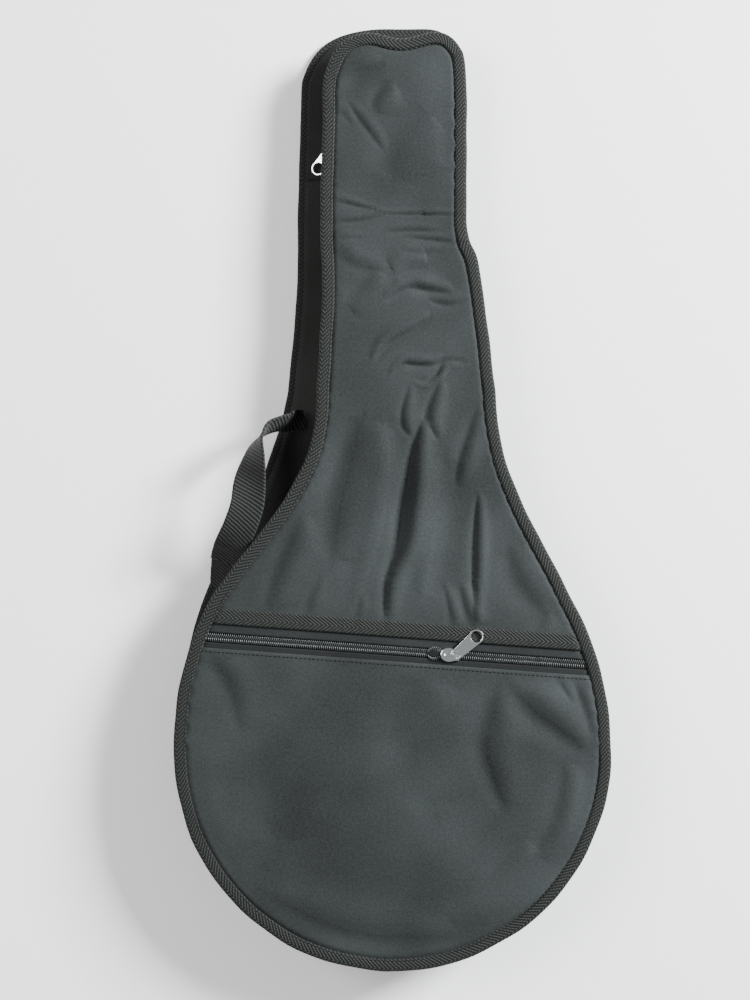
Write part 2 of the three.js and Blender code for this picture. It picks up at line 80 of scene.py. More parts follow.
ZIP_Y = -111.8
ZIP_SLOPE = -0.0733
COIL_REACH = 3.25
FACING_W = 6.9
STRIP_W = 11.3
TAPE_BELOW = 4.3
TAPE_W = 4.2
BACKING_DROP = 10.6
COIL_DEPTH = 1.8
TOOTH_PITCH = 1.5
SLIDER_X = 42.6
SLIDER_HALF_L = 5.5
MOUTH_L = 11.0
YARN_PITCH = 1.25

# The camera's sensor in millimetres, and the length in metres it takes in at the front's level.
SENSOR = 36
LENGTH_IN_VIEW = 0.74
LEVEL_IN_VIEW = 0.046

# Stations along each stretch of the outline, each divided FINE times.
FINE = 6
STEPS = {"waist": 14, "neck": 8, "corner": 5, "top": 3, "body": 36}


# ---- curves in plan

def unit(v):
    """The same vectors, each divided by its length."""
    return v / np.maximum(np.linalg.norm(v, axis=-1, keepdims=True), 1e-9)


def lengths(p):
    """Distance along a row of points, from zero."""
    return np.concatenate([[0], np.cumsum(np.linalg.norm(np.diff(p, axis=0), axis=1))])


def at_lengths(values, along, where):
    """The rows of values, known at the distances along, read off between them at other distances."""
    return np.stack([np.interp(where, along, values[:, k]) for k in range(values.shape[1])], axis=1)


def even(points, count):
    """The same line of points, spaced evenly, count of them."""
    along = lengths(points)
    return at_lengths(points, along, np.linspace(0, along[-1], count))


def bezier(a, b, c, d, steps):
    """Cubic curve from a to d pulled towards b and c, without its last point."""
    t = np.arange(steps)[:, None] / steps
    a, b, c, d = (np.array(p, float) for p in (a, b, c, d))
    return (1 - t) ** 3 * a + 3 * (1 - t) ** 2 * t * b + 3 * (1 - t) * t ** 2 * c + t ** 3 * d


def bend(points, steps, ends=False):
    """Smooth curve through points: each stretch is a cubic whose slope at a point is half the
    step between its neighbours. The last point is kept when ends is true."""
    p = np.array(points, float)
    last = len(p) - 1
    t = np.arange(steps + 1 if ends else steps) / steps * last
    i = np.minimum(t.astype(int), last - 1)
    w = (t - i)[:, None]
    before, after = p[np.maximum(i - 1, 0)], p[np.minimum(i + 2, last)]
    v0, v1 = (p[i + 1] - before) / 2, (after - p[i]) / 2
    d = p[i] - p[i + 1]
    return (2 * d + v0 + v1) * w ** 3 + (-3 * d - 2 * v0 - v1) * w ** 2 + v0 * w + p[i]


def outline(inset, top_y, sag, head, neck, waist, waist_pull, body_pull, body_inset):
    """Closed outline in plan: waist curve, neck, rounded head, neck, waist curve and half circle."""
    k = FINE
    stretches = [
        bezier((BODY_R - inset, BODY_Y), (BODY_R - inset, -67.8), (79.1 - inset, -25.7),
               (76.8 - inset, 82), STEPS["waist"] * k),
        bend([(76.8 - inset, 82), (72 - inset, 126), (64.5 - inset, 176), (57.5 - inset, 196),
              (56 - inset, 225), (56 - inset, 312)], STEPS["neck"] * 2 * k),
        bezier((56 - inset, 312), (56 - inset, 338), (50 - inset, top_y), (32, top_y),
               STEPS["corner"] * k),
        bend([(32, top_y), (6, top_y - sag), (-16, top_y)], STEPS["top"] * 2 * k),
        bezier((-16, top_y), (head + 8, top_y), (head, 335), (head, 300), STEPS["corner"] * k),
        bend([(head, 300), (head - 2, 222), (neck, 150), (waist, 82)], STEPS["neck"] * 2 * k),
        bezier((waist, 82), waist_pull, (-BODY_R, body_pull), (-BODY_R, BODY_Y),
               STEPS["waist"] * k),
    ]
    turn = math.pi * (1 + np.arange(STEPS["body"] * k) / (STEPS["body"] * k))
    radius = BODY_R - body_inset
    stretches.append(np.stack([radius * np.cos(turn), BODY_Y + radius * np.sin(turn)], axis=1))
    return np.concatenate(stretches)


def outward(points):
    """Unit direction out of a closed outline at each of its points."""
    along = unit(np.roll(points, -1, axis=0) - np.roll(points, 1, axis=0))
    return np.stack([along[:, 1], -along[:, 0]], axis=1)


def soften(points, first, last, passes):
    """The same outline with its corners eased between two stations: each point moves halfway to the
    middle of its neighbours, many times over."""
    points = points.copy()
    for _ in range(passes):
        middle = (np.roll(points, 1, axis=0) + np.roll(points, -1, axis=0)) / 2
        points[first:last] += (middle[first:last] - points[first:last]) / 2
    return points


FRONT = outline(0, TOP_Y, 7, -52, -53, -56.7, (-56.7, -33.3), -31.6, 0)
BACK = outline(1, BACK_TOP_Y + 4, 0, -70, -73.5, -80, (-104, -39.3), -46.3, 2)
HEAD_FIRST = (STEPS["waist"] + STEPS["neck"] * 2 + 2) * FINE
HEAD_LAST = HEAD_FIRST + (STEPS["corner"] + STEPS["top"] * 2 + 2) * FINE
FRONT = soften(FRONT, HEAD_FIRST, HEAD_LAST, 60)
BACK = soften(BACK, HEAD_FIRST, HEAD_LAST, 60)
FRONT_OUT = outward(FRONT)
BACK_OUT = outward(BACK)
COUNT = len(FRONT)

TOP_LEFT = (STEPS["waist"] + STEPS["neck"] * 2 + STEPS["corner"] + STEPS["top"] * 2 + 2) * FINE
LEFT_NECK = TOP_LEFT + (STEPS["corner"] - 2) * FINE
BODY_START = COUNT - STEPS["body"] * FINE
ZIP_END = BODY_START + 7 * FINE
ZIP_START = LEFT_NECK + 4 * FINE


def smooth(x, low, high):
    """Zero below low, one above high, and an s-curve between."""
    t = np.clip((x - low) / (high - low), 0, 1)
    return t * t * (3 - 2 * t)


# ---- how the cloth lies

# Folds of the front cloth: the points a fold runs through, its half width, its depth, and how its
# depth dies away: at both ends (0), only at the far end because it starts at a seam (1).
FOLDS = [
    ([(-41, 312), (-28, 321), (-7, 329)], 7, 2.6, 0),
    ([(-14, 292), (-8, 303), (-1, 312)], 7, 2.0, 0),
    ([(-33, 298), (-24, 286), (-14, 273), (-6, 262)], 3.6, 1.0, 0),
    ([(-48, 292), (-38, 290), (-30, 282)], 4, 1.2, 1),
    ([(28, 288), (8, 266), (2, 240)], 16, 2.4, 0),
    ([(-50, 226), (-28, 221), (-6, 215)], 2.4, 1.5, 1),
    ([(54, 213.5), (24, 214), (-10, 215)], 1.7, 2.1, 1),
    ([(-50, 208), (-26, 209.5), (-14, 212), (0, 214.5)], 3, 1.5, 1),
    ([(-50, 195), (-38, 196), (-22, 197)], 2.6, 1.3, 1),
    ([(-4, 201), (14, 202), (40, 201)], 2.6, 1.1, 0),
    ([(54, 192.5), (30, 195), (8, 197)], 2.6, 1.5, 1),
    ([(6, 187), (22, 185.5), (36, 187)], 3, 0.8, 0),
    ([(-48, 190), (-30, 178), (-6, 172)], 7, 1.5, 1),
    ([(44, 155), (28, 158), (12, 160), (-6, 150)], 4.5, 2.4, 0),
    ([(2, 168), (12, 174), (26, 176)], 8, 1.8, 0),
    ([(27, 150), (42, 147), (60, 151)], 3.4, 1.3, 0),
    ([(-34, 146), (-22, 156), (-12, 172)], 9, 1.6, 0),
    ([(-14, 104), (-3, 118), (14, 128), (29, 138)], 4, 2.4, 0),
    ([(-1, 93), (8, 102), (18, 102), (30, 102), (38, 107)], 3, 2.2, 0),
    ([(16, 88), (26, 86.5), (34, 92), (41, 101), (56, 101)], 2.6, -1.9, 0),
    ([(13, 84), (9, 68), (9, 56), (14, 48)], 4, 1.6, 0),
    ([(36, 88), (30, 72), (28, 60), (34, 46)], 5, 2.4, 0),
    ([(24, 60), (19, 42), (15, 14), (12, -6), (8, -34), (-2, -62), (-5, -98)], 7, 5.2, 0),
    ([(36, 30), (33, 4), (31, -30), (24, -70)], 12, -2.6, 0),
    ([(66, 72), (60, 52), (53, 32), (48, 12)], 6, 2.4, 0),
    ([(64, 4), (63, -24), (62, -56), (62, -92)], 4, 2.6, 0),
    ([(45, -94), (43, -80), (38, -62)], 3.2, 1.4, 1),
    ([(60, -94), (55, -78), (50, -62)], 5.0, 1.9, 1),
    ([(-22, 60), (-30, 30), (-38, -4), (-44, -44)], 16, 3.6, 0),
    ([(-6, 60), (-2, 20), (-10, -30), (-26, -76)], 11, -2.0, 0),
    ([(-68, -12), (-78, -40), (-94, -82)], 9, 2.4, 0),
    ([(-66, -94), (-60, -74), (-52, -56)], 5, 1.4, 1),
    ([(-27, -94), (-25, -82), (-22, -70)], 3.4, 1.3, 1),
    ([(88, -36), (96, -58), (112, -82)], 12, 2.2, 0),
    ([(116, -84), (108, -96), (96, -104)], 6, 1.6, 0),
    ([(88, -132), (99, -149), (116, -163), (142, -184)], 12, 3.4, 0),
    ([(86, -128), (75, -158), (71, -186), (84, -228)], 12, 3.2, 0),
    ([(120, -126), (128, -140), (134, -150)], 3.4, 1.4, 1),
    ([(136, -134), (146, -158), (151, -178)], 5, 1.8, 0),
    ([(24, -134), (16, -176), (30, -226)], 24, 2.2, 0),
    ([(-132, -116), (-118, -140), (-112, -170)], 10, 1.8, 1),
    ([(-60, -150), (-84, -200), (-84, -250)], 26, 1.8, 0),
    ([(-90, -292), (-30, -318), (50, -322)], 12, 1.8, 0),
    ([(96, -250), (74, -284), (40, -304)], 13, 2.2, 0),
    ([(128, -196), (124, -232), (106, -262)], 9, 2.0, 0),
]

# Broad low swells, each a direction in degrees, a wavelength, a phase and a height.
SWELLS = [(24, 118, 0.4, 0.5), (131, 83, 1.9, 0.3), (77, 59, 4.0, 0.16), (163, 37, 2.6, 0.1)]
FOLD_DEPTH = 1.5
STEEP_SIDE = np.array([-0.75, -0.66])


def fold_height(x, y, points, width, depth, seam):
    """One fold: a slope that drops across its line with a gentle rise on either side, the shape
    s exp(-s squared) of the distance s across it, steeper towards one corner of the bag. Its width
    and depth swell from its ends to its middle."""
    line = bend(points, 48, ends=True)
    near = np.full(x.shape, 1e9)
    which = np.zeros(x.shape, int)
    for k in range(len(line)):
        d = (x - line[k, 0]) ** 2 + (y - line[k, 1]) ** 2
        closer = d < near
        near = np.where(closer, d, near)
        which = np.where(closer, k, which)
    along = unit(np.gradient(line, axis=0))
    across = np.stack([along[:, 1], -along[:, 0]], axis=1)
    if (across @ STEEP_SIDE).mean() < 0:
        across = -across
    side = (x - line[which, 0]) * across[which, 0] + (y - line[which, 1]) * across[which, 1]
    side = np.sign(side) * np.sqrt(near)
    t = which / (len(line) - 1)
    swell = np.sin(math.pi * (0.5 + 0.5 * t if seam else t)) ** 0.8
    s = side / (width * (0.4 + 0.6 * swell))
    shape = np.where(s < 0, s * np.exp(-0.5 * s ** 2) * 0.9, s * np.exp(-1.1 * s ** 2))
    beyond = np.where((which == 0) | (which == len(line) - 1), np.exp(-near / (0.5 * width) ** 2), 1)
    return -depth * FOLD_DEPTH * (0.1 + 0.9 * swell) * shape * beyond


def lie(x, y):
    """Height of the front cloth above its straight plane: the sum of its folds and of low waves.
    The sum dies away along the pocket zip, where the slider runs."""
    z = np.zeros_like(x)
    for fold in FOLDS:
        z += fold_height(x, y, *fold)
    for degrees, wavelength, phase, height in SWELLS:
        angle = math.radians(degrees)
        z += height * np.sin(2 * math.pi * (x * math.cos(angle) + y * math.sin(angle)) / wavelength + phase)
    gap = y - (ZIP_Y + ZIP_SLOPE * x)
    near_zip = np.maximum(0.15 + 0.85 * smooth(gap, 18, 34), 0.15 + 0.85 * smooth(-gap, 7, 26))
    near_zip = np.where((gap < 18) & (gap > -7), 0.15 * (0.4 + 0.6 * smooth(np.abs(gap), 4, 12)), near_zip)
    crown = 3.2 * smooth(-gap, 5, 90) * np.clip(1 - (x ** 2 + (y - BODY_Y) ** 2) / 158 ** 2, 0, 1)
    return z * near_zip + crown


def front_height(y):
    """Height of the front's straight plane, which slopes down to the head."""
    return HEIGHT_AT_ORIGIN - HEIGHT_SLOPE * y


def lifted(plan, z):
    """Plan points (.., 2) with their heights, as (.., 3)."""
    return np.concatenate([plan, z[..., None]], axis=-1)


def edge_gap(x, y):
    """Distance of each point from the front outline, to the nearest of its points."""
    ring = FRONT[::3]
    gap = np.full(x.shape, 1e9)
    for first in range(0, len(ring), 8):
        d = np.hypot(x[..., None] - ring[first:first + 8, 0], y[..., None] - ring[first:first + 8, 1])
        gap = np.minimum(gap, d.min(axis=-1))
    return gap


# ---- meshes from whole arrays

def mesh_object(name, points, faces, uvs, material):
    """A mesh piece from points (n, 3) in millimetres, quads (m, 4) and their corner uvs in metres."""
    points = points * MM
    points[:, 1] += SHIFT_Y * MM
    mesh = bpy.data.meshes.new(name)
    mesh.vertices.add(len(points))
    mesh.vertices.foreach_set("co", points.astype(np.float32).ravel())
    mesh.loops.add(faces.size)
    mesh.loops.foreach_set("vertex_index", faces.astype(np.int32).ravel())
    mesh.polygons.add(len(faces))
    mesh.polygons.foreach_set("loop_start", np.arange(0, faces.size, faces.shape[1], dtype=np.int32))
    mesh.update(calc_edges=True)
    layer = mesh.uv_layers.new(name="cloth")
    layer.data.foreach_set("uv", (uvs * MM).astype(np.float32).ravel())
    mesh.polygons.foreach_set("use_smooth", np.ones(len(faces), dtype=bool))
    mesh.materials.append(material)
    mesh.validate()
    piece = bpy.data.objects.new(name, mesh)
    bpy.context.scene.collection.objects.link(piece)
    return piece


def grid_quads(rows, columns, closed):
    """Corner numbers of each quad of a grid, which may close on itself both ways."""
    r = np.arange(rows if closed else rows - 1)[:, None]
    c = np.arange(columns if closed else columns - 1)[None, :]
    r1, c1 = (r + 1) % rows, (c + 1) % columns
    quads = np.stack([r * columns + c, r1 * columns + c, r1 * columns + c1, r * columns + c1], axis=-1)
    return quads.reshape(-1, 4)


def corner_uvs(u, v):
    """Corner uvs of each quad, from the u and v of a grid with one row and column more than cells."""
    uv = np.stack([u, v], axis=-1)
    corners = np.stack([uv[:-1, :-1], uv[1:, :-1], uv[1:, 1:], uv[:-1, 1:]], axis=-2)
    return corners.reshape(-1, 2)


def face_out(points, faces, uvs):
    """The same faces, turned round if the closed shape they make would be inside out."""
    p = points[faces]
    volume = np.einsum("ij,ij->i", p[:, 0], np.cross(p[:, 1], p[:, 2])).sum()
    volume += np.einsum("ij,ij->i", p[:, 0], np.cross(p[:, 2], p[:, 3])).sum()
    if volume >= 0:
        return faces, uvs
    return faces[:, ::-1], uvs.reshape(-1, 4, 2)[:, ::-1].reshape(-1, 2)


def grid_normals(p):
    """Unit normals of a grid of points, from the cross of its two directions."""
    return unit(np.cross(np.gradient(p, axis=0), np.gradient(p, axis=1)))


def sheet_object(name, p, u, v, thickness, material):
    """A closed sheet: the grid p (rows, columns, 3) on one face, the same grid set off by thickness
    against its normals on the other, and four strips that close the edges."""
    rows, columns = p.shape[:2]
    other = p - grid_normals(p) * thickness
    points = np.concatenate([p.reshape(-1, 3), other.reshape(-1, 3)])
    top = grid_quads(rows, columns, False)
    uv_top = corner_uvs(u, v)
    under = top[:, ::-1] + rows * columns
    uv_under = uv_top.reshape(-1, 4, 2)[:, ::-1].reshape(-1, 2)
    number = np.arange(rows * columns).reshape(rows, columns)
    rim = np.concatenate([number[0, :], number[1:, -1], number[-1, -2::-1], number[-2:0:-1, 0]])
    after = np.roll(rim, -1)
    sides = np.stack([rim, after, after + rows * columns, rim + rows * columns], axis=1)
    flat_uv = np.stack([u, v], axis=-1).reshape(-1, 2)
    uv_sides = flat_uv[np.stack([rim, after, after, rim], axis=1)].reshape(-1, 2)
    faces = np.concatenate([top, under, sides])
    uvs = np.concatenate([uv_top, uv_under, uv_sides])
    faces, uvs = face_out(points, faces, uvs)
    return mesh_object(name, points, faces, uvs, material)


def hoop_object(name, rings, u, v, material):
    """A solid closed on itself, whose cross-sections are rings (stations, points, 3)."""
    stations, around = rings.shape[:2]
    points = rings.reshape(-1, 3)
    shape = (stations + 1, around + 1)
    uvs = corner_uvs(np.broadcast_to(u[:, None], shape), np.broadcast_to(v[None, :], shape))
    faces, uvs = face_out(points, grid_quads(stations, around, True), uvs)
    return mesh_object(name, points, faces, uvs, material)


def capsules(name, centres, along, across, up, half, material):
    """Many small rounded bars in one mesh: each is a low egg, half = (length, width, height) / 2,
    set at its centre with its own three directions (n, 3)."""
    rings, around = 4, 6
    polar = np.linspace(0, math.pi, rings + 2)[1:-1]
    turn = np.arange(around) * 2 * math.pi / around
    body = np.stack([
        np.repeat(np.cos(polar), around),
        (np.sin(polar)[:, None] ** 0.7 * np.cos(turn)).ravel(),
        (np.sin(polar)[:, None] ** 0.7 * np.sin(turn)).ravel()], axis=1)
    egg = np.concatenate([[[1, 0, 0]], body, [[-1, 0, 0]]]) * np.array(half)
    n = len(centres)
    basis = np.stack([along, across, up], axis=1)
    points = centres[:, None, :] + np.einsum("vk,nkd->nvd", egg, basis)
    k = np.arange(around)
    k1 = (k + 1) % around
    faces = [np.stack([0 * k, 1 + k, 1 + k1], axis=1)]
    for ring in range(rings - 1):
        low, high = 1 + ring * around, 1 + (ring + 1) * around
        faces.append(np.stack([low + k, high + k, high + k1], axis=1))
        faces.append(np.stack([low + k, high + k1, low + k1], axis=1))
    tail = 1 + rings * around
    faces.append(np.stack([tail + 0 * k, tail - around + k1, tail - around + k], axis=1))
    faces = np.concatenate(faces)
    probe = egg[faces]
    if np.einsum("ij,ij->i", probe[:, 0], np.cross(probe[:, 1], probe[:, 2])).sum() < 0:
        faces = faces[:, ::-1]
    if np.cross(along[0], across[0]) @ up[0] < 0:
        faces = faces[:, ::-1]
    every = (faces[None] + (np.arange(n) * len(egg))[:, None, None]).reshape(-1, 3)
    uvs = np.zeros((every.size, 2))
    return mesh_object(name, points.reshape(-1, 3), every, uvs, material)


# ---- materials

def linear(hex_colour):
    """Linear red, green, blue and alpha of an sRGB hex colour."""
    values = [int(hex_colour[i:i + 2], 16) / 255 for i in (1, 3, 5)]
    return [v / 12.92 if v <= 0.04045 else ((v + 0.055) / 1.055) ** 2.4 for v in values] + [1.0]


def fill(tree, node, **inputs):
    """Fills a node's inputs by name or number: an output socket is linked, and anything else is set
    on the input itself."""
    for key, value in inputs.items():
        numbered = key[0] == "_" and key[1:].isdigit()
        socket = node.inputs[int(key[1:]) if numbered else key.replace("_", " ")]
        if isinstance(value, bpy.types.NodeSocket):
            tree.links.new(value, socket)
        else:
            socket.default_value = value
    return node


def add(tree, kind, settings=None, **inputs):
    """Adds a node of one kind, sets its properties and fills its inputs."""
    node = tree.nodes.new(kind)
    for key, value in (settings or {}).items():
        setattr(node, key, value)
    return fill(tree, node, **inputs)


def new_material(name):
    """An empty node material with its shader and output, as (material, tree, shader)."""
    material = bpy.data.materials.new(name)
    material.use_nodes = True
    tree = material.node_tree
    tree.nodes.clear()
    shader = add(tree, "ShaderNodeBsdfPrincipled")
    output = add(tree, "ShaderNodeOutputMaterial")
    tree.links.new(shader.outputs["BSDF"], output.inputs["Surface"])
    return material, tree, shader


def maths(tree, operation, a, b=0.0, c=0.0):
    """One step of arithmetic on numbers or sockets, as a socket."""
    return add(tree, "ShaderNodeMath", {"operation": operation}, _0=a, _1=b, _2=c).outputs[0]


def scaled(tree, a, factor, plus):
    """a times factor, plus another, as a socket."""
    return maths(tree, "MULTIPLY_ADD", a, factor, plus)


def noise(tree, vector, scale, detail):
    """Soft noise from 0 to 1 over a vector, as a socket."""
    return add(tree, "ShaderNodeTexNoise", None, Vector=vector, Scale=scale, Detail=detail).outputs["Fac"]


def place(tree):
    """The point in the piece's own space, as a socket."""
    return add(tree, "ShaderNodeTexCoord").outputs["Object"]


def weave(tree):
    """The cloth's own coordinates in metres, as sockets: both together, then along and across."""
    uv = add(tree, "ShaderNodeUVMap", {"uv_map": "cloth"}).outputs[0]
    parts = add(tree, "ShaderNodeSeparateXYZ", None, Vector=uv)
    return uv, parts.outputs[0], parts.outputs[1]


def raised(tree, height, strength, distance):
    """A normal bent by a height, as a socket."""
    return add(tree, "ShaderNodeBump", None, Strength=strength, Distance=distance, Height=height).outputs[0]


def wave(tree, position, pitch):
    """A sine from 0 to 1 of a position in metres, one cycle in each pitch in millimetres."""
    turn = maths(tree, "MULTIPLY", position, 2 * math.pi / (pitch * MM))
    return scaled(tree, maths(tree, "SINE", turn), 0.5, 0.5)


def colour_between(tree, share, dark, light):
    """A colour between two hex colours, as a socket."""
    mix = add(tree, "ShaderNodeMix", {"data_type": "RGBA"}, _0=share, _6=linear(dark), _7=linear(light))
    return mix.outputs[2]


def woven_polyester(name, dark, light, sheen):
    """Solution-dyed polyester, plain woven from thick filament yarn and coated on its back. The eye
    sees a fine slanting grain and a soft even sheen. Broad soft clouds make it a little glossier where
    rubbing has worn it, and the same clouds lighten and darken its colour as painted shade.
    The real yarns are 0.5 mm apart, and their twill lines are drawn 1.25 mm apart so that they show."""
    material, tree, shader = new_material(name)
    uv, u, v = weave(tree)
    drift = maths(tree, "MULTIPLY", noise(tree, uv, 140.0, 2.0), 0.0004)
    slant = maths(tree, "ADD", maths(tree, "ADD", u, v), drift)
    counter = maths(tree, "SUBTRACT", maths(tree, "MULTIPLY", u, 0.7), v)
    ribs = wave(tree, slant, YARN_PITCH)
    cross = wave(tree, counter, YARN_PITCH * 1.3)
    weight = scaled(tree, noise(tree, uv, 430.0, 1.0), 0.7, 0.6)
    grain = scaled(tree, cross, 0.35, maths(tree, "MULTIPLY", ribs, 0.65))
    grain = maths(tree, "MULTIPLY", grain, weight)
    fibre, rubbed_and_painted_shade = noise(tree, uv, 1500.0, 3.0), noise(tree, uv, 9.0, 3.0)
    speck = scaled(tree, fibre, 1.0, maths(tree, "MULTIPLY", grain, 0.8))
    # Painted shade: the broad clouds add to the colour share, so the cloth lightens and darkens in soft
    # patches.
    share = scaled(tree, rubbed_and_painted_shade, 0.9, maths(tree, "SUBTRACT", speck, 1.0))
    fill(tree, shader, Base_Color=colour_between(tree, share, dark, light),
         Roughness=scaled(tree, rubbed_and_painted_shade, -0.12, 0.84), Sheen_Weight=sheen, Sheen_Roughness=0.45,
         Sheen_Tint=linear("#d4dcdc"), Specular_IOR_Level=0.16, Normal=raised(tree, speck, 0.5, 0.00022))
    return material


def woven_tape(name, dark, light, pitch, turn, lean):
    """Polyester twill tape with a herringbone: its ribs slant one way up to the turn, in millimetres
    from one edge, and the other way beyond it, so it reads as rows of short dashes on a black ground."""
    material, tree, shader = new_material(name)
    uv, u, v = weave(tree)
    mirrored = maths(tree, "ABSOLUTE", maths(tree, "SUBTRACT", v, turn * MM))
    slant = scaled(tree, noise(tree, uv, 260.0, 1.0), 0.0007, scaled(tree, mirrored, lean, u))
    ribs = maths(tree, "POWER", wave(tree, slant, pitch), 1.6)
    dashes = wave(tree, scaled(tree, u, -0.35, v), pitch * 0.62)
    bright = maths(tree, "MULTIPLY", ribs, scaled(tree, dashes, 0.5, 0.5))
    share = scaled(tree, noise(tree, uv, 1200.0, 2.0), 0.4, maths(tree, "SUBTRACT", bright, 0.2))
    fill(tree, shader, Base_Color=colour_between(tree, share, dark, light), Roughness=0.72,
         Sheen_Weight=0.06, Sheen_Roughness=0.5, Specular_IOR_Level=0.18,
         Normal=raised(tree, bright, 0.9, 0.0004))
    return material


def moulded_nylon(name, dark, light):
    """Nylon monofilament, wound and heat-set into a coil: smooth, slightly translucent black that
    takes a small bright highlight on every turn."""
    material, tree, shader = new_material(name)
    dirt = noise(tree, place(tree), 300.0, 2.0)
    fill(tree, shader, Base_Color=colour_between(tree, dirt, dark, light),
         Roughness=scaled(tree, dirt, 0.2, 0.24), Specular_IOR_Level=0.45)
    return material


def sewing_thread(name, dark, light):
    """Bonded polyester thread, twisted from three plies: black and nearly matt."""
    material, tree, shader = new_material(name)
    ply = noise(tree, place(tree), 900.0, 1.0)
    fill(tree, shader, Base_Color=colour_between(tree, ply, dark, light), Roughness=0.75,
         Specular_IOR_Level=0.12)
    return material


def plated_zinc(name, dark, light):
    """Die-cast zinc with bright nickel plating: a mirror-like grey metal, faintly pitted by the
    casting and finely scratched by use. Its colour carries a painted highlight: it is lightest on the rims
    and sides, the more a face turns from facing up or down."""
    material, tree, shader = new_material(name)
    where = place(tree)
    pits = noise(tree, where, 260.0, 2.0)
    stretch = add(tree, "ShaderNodeMapping", None, Vector=where, Scale=(2600.0, 240.0, 900.0))
    scratches = noise(tree, stretch.outputs[0], 1.0, 2.0)
    normal = add(tree, "ShaderNodeNewGeometry").outputs["Normal"]
    level = add(tree, "ShaderNodeSeparateXYZ", None, Vector=normal).outputs[2]
    # Painted highlight: the less a face points up or down, the nearer its colour comes to the light one.
    rim = scaled(tree, maths(tree, "ABSOLUTE", level), -1.6, 1.6)
    height = scaled(tree, pits, 0.6, maths(tree, "MULTIPLY", scratches, 0.3))
    fill(tree, shader, Base_Color=colour_between(tree, scaled(tree, pits, 0.3, rim), dark, light),
         Metallic=1.0, Roughness=scaled(tree, scratches, 0.22, 0.08),
         Normal=raised(tree, height, 0.15, 0.00006))
    return material


def painted_floor(name, colour):
    """Matt white painted board, even all over, so that it reads as a plain studio table."""
    material, tree, shader = new_material(name)
    fill(tree, shader, Base_Color=linear(colour),
         Roughness=scaled(tree, noise(tree, place(tree), 60.0, 2.0), 0.1, 0.8))
    return material


MATERIALS = {}


def finish(name):
    """The shared material of that name, made on first use from the colours set in the panel."""
    if name not in MATERIALS:
        colours = bpy.context.scene.bag_colours
        cloth = hex_of(colours.cloth_dark), hex_of(colours.cloth_light)
        tape = hex_of(colours.tape_dark), hex_of(colours.tape_light)
        recipes = {
            "cloth": (woven_polyester, "Woven polyester", *cloth, 0.06),
            "lining": (woven_polyester, "Coated polyester back", "#17191a", "#26292a", 0.1),
            "binding": (woven_tape, "Herringbone binding tape", *tape, 3.2, 2.4, 1.2),
            "strip": (woven_tape, "Herringbone strip", *tape, 3.2, 4.6, 1.3),
            "webbing": (woven_tape, "Ribbed polyester webbing", tape[0], "#2f3330", 2.7, 0.0, 0.4),
            # The walls take the cloth in darker colours: painted shade, for walls that stand in shadow.
            "wall": (woven_polyester, "Woven polyester wall", "#070707", "#2d2e2d", 0.03),
            "facing": (woven_polyester, "Woven polyester facing", "#0a0b0b", "#2b2f30", 0.03),
            "zip_tape": (woven_polyester, "Woven zip tape", "#070808", "#222525", 0.02),
            "nylon": (moulded_nylon, "Moulded nylon coil", "#1a1c1c", "#3a3d3d"),
            "thread": (sewing_thread, "Bonded sewing thread", "#08090a", "#151717"),
            # The light metal colour is the painted highlight on rims and sides.
            "metal": (plated_zinc, "Nickel-plated zinc", "#c2c9c6", "#fbfcfc"),
            "floor": (painted_floor, "Matt white board", hex_of(colours.floor)),
        }
        make, *settings = recipes[name]
        MATERIALS[name] = make(*settings)
    return MATERIALS[name]


def hex_of(colour):
    """An sRGB hex string from a colour property that holds sRGB values."""
    return "#" + "".join(f"{round(max(0.0, min(1.0, c)) * 255):02x}" for c in colour[:3])


# ---- shapes of the bag

TOP_SPAN = ((STEPS["waist"] + STEPS["neck"] * 2 + 3) * FINE,
            (STEPS["waist"] + STEPS["neck"] * 2 + STEPS["corner"] + STEPS["top"] * 2 + 2) * FINE)
BOTTOM_SPAN = (BODY_START + STEPS["body"] * FINE // 4, BODY_START + STEPS["body"] * FINE * 3 // 4)


def coons(bottom, top, left, right, columns, rows):
    """Surface inside four edge curves in plan, each first spaced evenly: the blend of left and right,
    plus the blend of bottom and top, less the blend of the four corners."""
    bottom, top = even(bottom, columns), even(top, columns)
    left, right = even(left, rows), even(right, rows)
    s = np.linspace(0, 1, len(bottom))[None, :, None]
    t = np.linspace(0, 1, len(left))[:, None, None]
    sides = (1 - s) * left[:, None] + s * right[:, None]
    ends = (1 - t) * bottom[None] + t * top[None]
    corners = ((1 - s) * (1 - t) * left[0] + s * (1 - t) * right[0]
               + (1 - s) * t * left[-1] + s * t * right[-1])
    return sides + ends - corners


STRIP_FROM = COIL_REACH + GAP + FACING_W


def zip_line(offset, inset=4.0, count=2):
    """A straight line across the front, offset from the pocket zip, between the two side curves."""
    ring = FRONT - FRONT_OUT * inset
    level = ring[:, 1] - (ZIP_Y + offset + ZIP_SLOPE * ring[:, 0])
    cross = np.nonzero(level * np.roll(level, -1) <= 0)[0]
    ends = []
    for i in cross:
        j = (i + 1) % COUNT
        share = level[i] / (level[i] - level[j])
        ends.append((ring[i] + share * (ring[j] - ring[i]), i))
    ends.sort(key=lambda e: e[0][0])
    (left, left_i), (right, right_i) = ends[0], ends[-1]
    t = np.linspace(0, 1, count)[:, None]
    return left + (right - left) * t, left_i, right_i, ring


def front_surface(plan, offset=0.0):
    """Puts a plan grid (.., 2) on the front cloth, as (.., 3). Its relief dies away towards the
    binding, and its edge is tucked under it."""
    x, y = plan[..., 0], plan[..., 1]
    gap = edge_gap(x, y)
    relief = lie(x, y) * (0.25 + 0.75 * smooth(gap, 8, 26)) - PANEL_TUCK * (1 - smooth(gap, 8.6, 12.5))
    return lifted(plan, front_height(y) - PANEL_RECESS + offset + relief)


